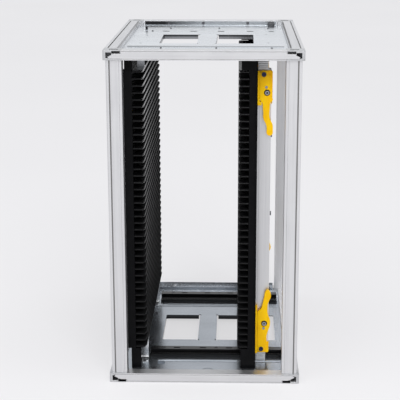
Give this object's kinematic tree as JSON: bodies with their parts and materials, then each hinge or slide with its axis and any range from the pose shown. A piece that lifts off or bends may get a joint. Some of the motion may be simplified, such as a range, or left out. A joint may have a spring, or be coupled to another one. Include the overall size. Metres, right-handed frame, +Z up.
{
  "type": "pcb magazine rack",
  "caption": "Upright aluminium rack for circuit boards, with a fixed and a sliding slotted side panel set by racks and pinions and clamped by yellow levers.",
  "frame": {"origin": "on the ground under the middle of the frame", "axes": "+X to the right seen from the front, +Y to the rear, +Z up"},
  "size_m": [0.32, 0.46, 0.563],
  "materials": {
    "cast_aluminium": "bead-blasted casting",
    "anodised_aluminium": "satin silver anodised extrusion",
    "zinc_sheet": "bluish zinc plate",
    "grey_fitting": "fine matt",
    "black_plastic": "matt black, conductive filled",
    "yellow_plastic": "satin chrome yellow",
    "bright_steel": "bright turned",
    "black_screw": "blue-black oxide",
    "bronze": "sintered bronze"
  },
  "bodies": {
    "frame": {"column_front_left": "anodised_aluminium", "column_front_right": "anodised_aluminium", "column_rear_left": "anodised_aluminium", "column_rear_right": "anodised_aluminium", "corner_bottom_front_left": "cast_aluminium", "corner_bottom_front_right": "cast_aluminium", "corner_bottom_rear_left": "cast_aluminium", "corner_bottom_rear_right": "cast_aluminium", "corner_top_front_left": "cast_aluminium", "corner_top_front_right": "cast_aluminium", "corner_top_rear_left": "cast_aluminium", "corner_top_rear_right": "cast_aluminium", "fixed_panel": "black_plastic", "fixed_panel_ribs": "black_plastic", "panel_brackets": "zinc_sheet", "plate_bottom": "zinc_sheet", "plate_knob": "grey_fitting", "plate_screws": "bright_steel", "plate_top": "zinc_sheet", "rack_bottom_front": "black_plastic", "rack_bottom_rear": "black_plastic", "rack_screws": "bright_steel", "rack_top_front": "black_plastic", "rack_top_rear": "black_plastic", "rail_bottom_front": "anodised_aluminium", "rail_bottom_rear": "anodised_aluminium", "rail_top_front": "anodised_aluminium", "rail_top_rear": "anodised_aluminium", "side_rail_bottom_left": "anodised_aluminium", "side_rail_bottom_right": "anodised_aluminium", "side_rail_top_left": "anodised_aluminium", "side_rail_top_right": "anodised_aluminium"},
    "moving_side": {"foot_bottom_front": "cast_aluminium", "foot_bottom_rear": "cast_aluminium", "foot_top_front": "cast_aluminium", "foot_top_rear": "cast_aluminium", "lever_base_bottom_front": "yellow_plastic", "lever_base_bottom_rear": "yellow_plastic", "lever_base_top_front": "yellow_plastic", "lever_base_top_rear": "yellow_plastic", "lever_pivot_screws": "black_screw", "moving_panel": "black_plastic", "moving_panel_ribs": "black_plastic", "panel_screws": "bright_steel", "post_front": "anodised_aluminium", "post_rear": "anodised_aluminium", "shaft_bushes": "bronze"},
    "shaft_low": {"shaft_bottom": "bright_steel", "pinions_bottom": "black_plastic"},
    "shaft_high": {"shaft_top": "bright_steel", "pinions_top": "black_plastic"},
    "lever_bottom_front": {"lever_bottom_front": "yellow_plastic", "lever_bolt_bottom_front": "bright_steel"},
    "lever_bottom_rear": {"lever_bottom_rear": "yellow_plastic", "lever_bolt_bottom_rear": "bright_steel"},
    "lever_top_front": {"lever_top_front": "yellow_plastic", "lever_bolt_top_front": "bright_steel"},
    "lever_top_rear": {"lever_top_rear": "yellow_plastic", "lever_bolt_top_rear": "bright_steel"}
  },
  "joints": [
    {"name": "side_slide", "type": "slide", "parent": "frame", "child": "moving_side", "axis": [1, 0, 0], "range_m": [-0.14, 0.026]},
    {"name": "lever_bottom_front_turn", "type": "hinge", "parent": "moving_side", "child": "lever_bottom_front", "pos_m": [0.0965, -0.16835, 0.04], "axis": [0, 1, 0], "range_deg": [0, 90]},
    {"name": "lever_bottom_rear_turn", "type": "hinge", "parent": "moving_side", "child": "lever_bottom_rear", "pos_m": [0.0965, 0.11165, 0.04], "axis": [0, 1, 0], "range_deg": [-4, 86]},
    {"name": "lever_top_front_turn", "type": "hinge", "parent": "moving_side", "child": "lever_top_front", "pos_m": [0.0965, -0.16835, 0.517], "axis": [0, -1, 0], "range_deg": [0, 90]},
    {"name": "lever_top_rear_turn", "type": "hinge", "parent": "moving_side", "child": "lever_top_rear", "pos_m": [0.0965, 0.11165, 0.517], "axis": [0, -1, 0], "range_deg": [-4, 86]},
    {"name": "shaft_low_spin", "type": "hinge", "parent": "moving_side", "child": "shaft_low", "pos_m": [0.0975, 0, 0.0275], "axis": [0, 1, 0], "range_deg": [-1003, 187]},
    {"name": "shaft_high_spin", "type": "hinge", "parent": "moving_side", "child": "shaft_high", "pos_m": [0.0975, 0, 0.539], "axis": [0, 1, 0], "range_deg": [-187, 1003]}
  ],
  "couplings": [
    {"joint": "shaft_low_spin", "follows": "side_slide", "rad_per_m": 125},
    {"joint": "shaft_high_spin", "follows": "side_slide", "rad_per_m": -125}
  ]
}
